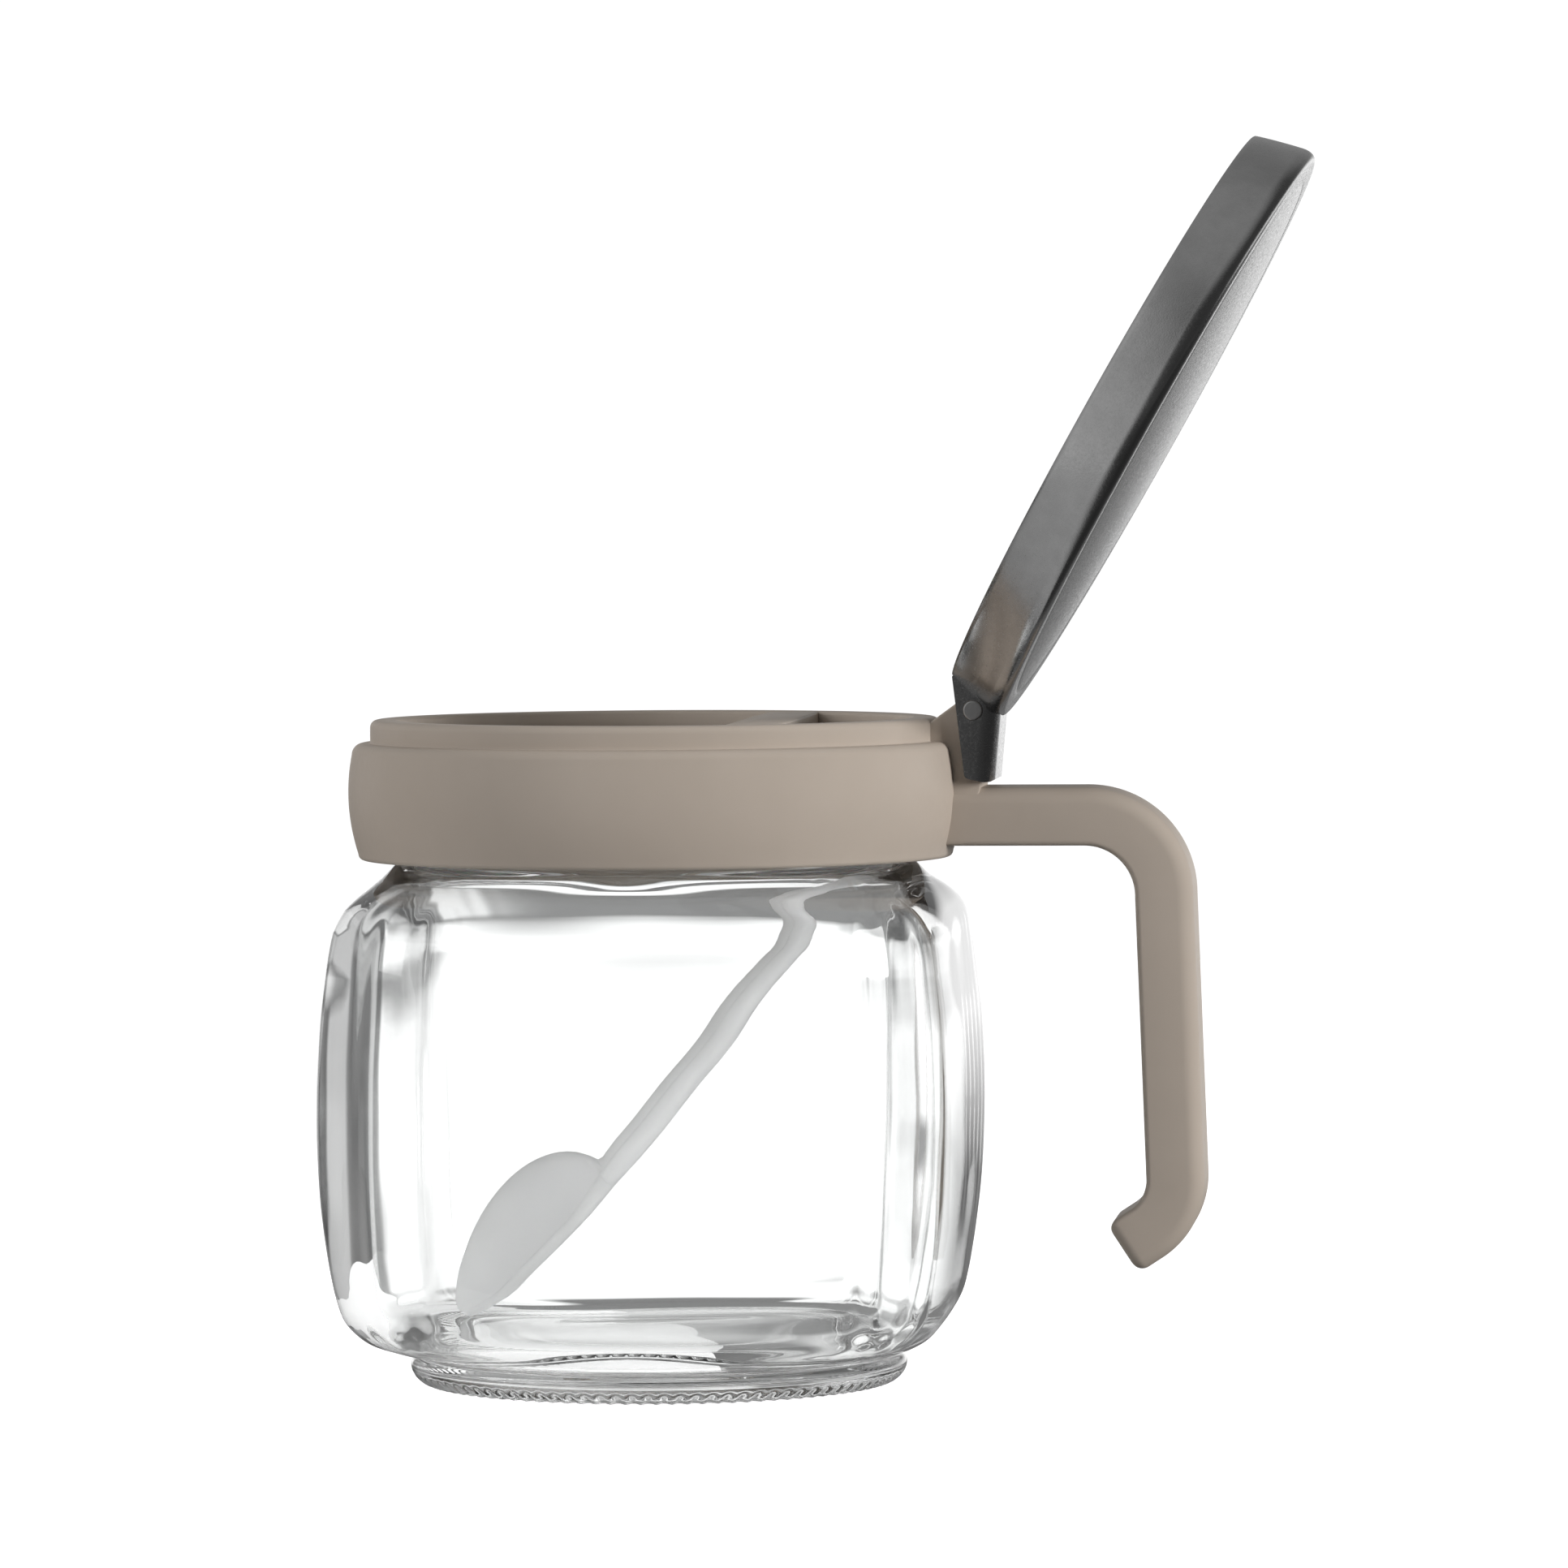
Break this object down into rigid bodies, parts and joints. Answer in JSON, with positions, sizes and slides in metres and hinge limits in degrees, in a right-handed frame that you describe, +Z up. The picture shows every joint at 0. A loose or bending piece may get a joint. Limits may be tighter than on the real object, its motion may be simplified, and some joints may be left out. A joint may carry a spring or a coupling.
{
  "type": "spice jar",
  "caption": "Clear glass spice jar with a screw collar, hooked handle, levelling bar across the mouth, hinged steel flip lid with thumb lever, and a loose spoon inside.",
  "frame": {"origin": "centre of the round foot, on the plane the jar stands on", "axes": "+Z up along the jar, +X towards the hinge and the handle, +Y across to the left when facing +X"},
  "size_m": [0.1185, 0.0776, 0.1504],
  "materials": {
    "clear_glass": "clear pressed soda-lime glass, fire polished",
    "seal": "translucent white silicone",
    "beige_plastic": "satin moulded polypropylene, warm grey beige",
    "pin_steel": "plain steel, cut end",
    "lid_steel": "satin stainless sheet, pressed",
    "white_plastic": "translucent white moulded plastic"
  },
  "bodies": {
    "jar": {"glass_jar": "clear_glass"},
    "seal": {"sealing_ring": "seal"},
    "collar": {"screw_collar": "beige_plastic", "hinge_pin": "pin_steel"},
    "lid": {"steel_lid": "lid_steel"},
    "spoon": {"spoon": "white_plastic"}
  },
  "joints": [
    {"name": "collar_lift", "type": "slide", "parent": "jar", "child": "seal", "axis": [0, 0, 1], "range_m": [0, 0.01425]},
    {"name": "collar_turn", "type": "hinge", "parent": "seal", "child": "collar", "pos_m": [0, 0, 0.07], "axis": [0, 0, 1], "range_deg": [0, 640]},
    {"name": "lid_hinge", "type": "hinge", "parent": "collar", "child": "lid", "pos_m": [0.0392, 0, 0.0816], "axis": [0, -1, 0], "range_deg": [0, 119.5]},
    {"name": "spoon_tip_up", "type": "hinge", "parent": "jar", "child": "spoon", "pos_m": [-0.0252, 0, 0.0066], "axis": [0, -1, 0], "range_deg": [0, 9]}
  ],
  "couplings": [
    {"joint": "collar_lift", "follows": "collar_turn", "m_per_rad": 0.0012732}
  ]
}
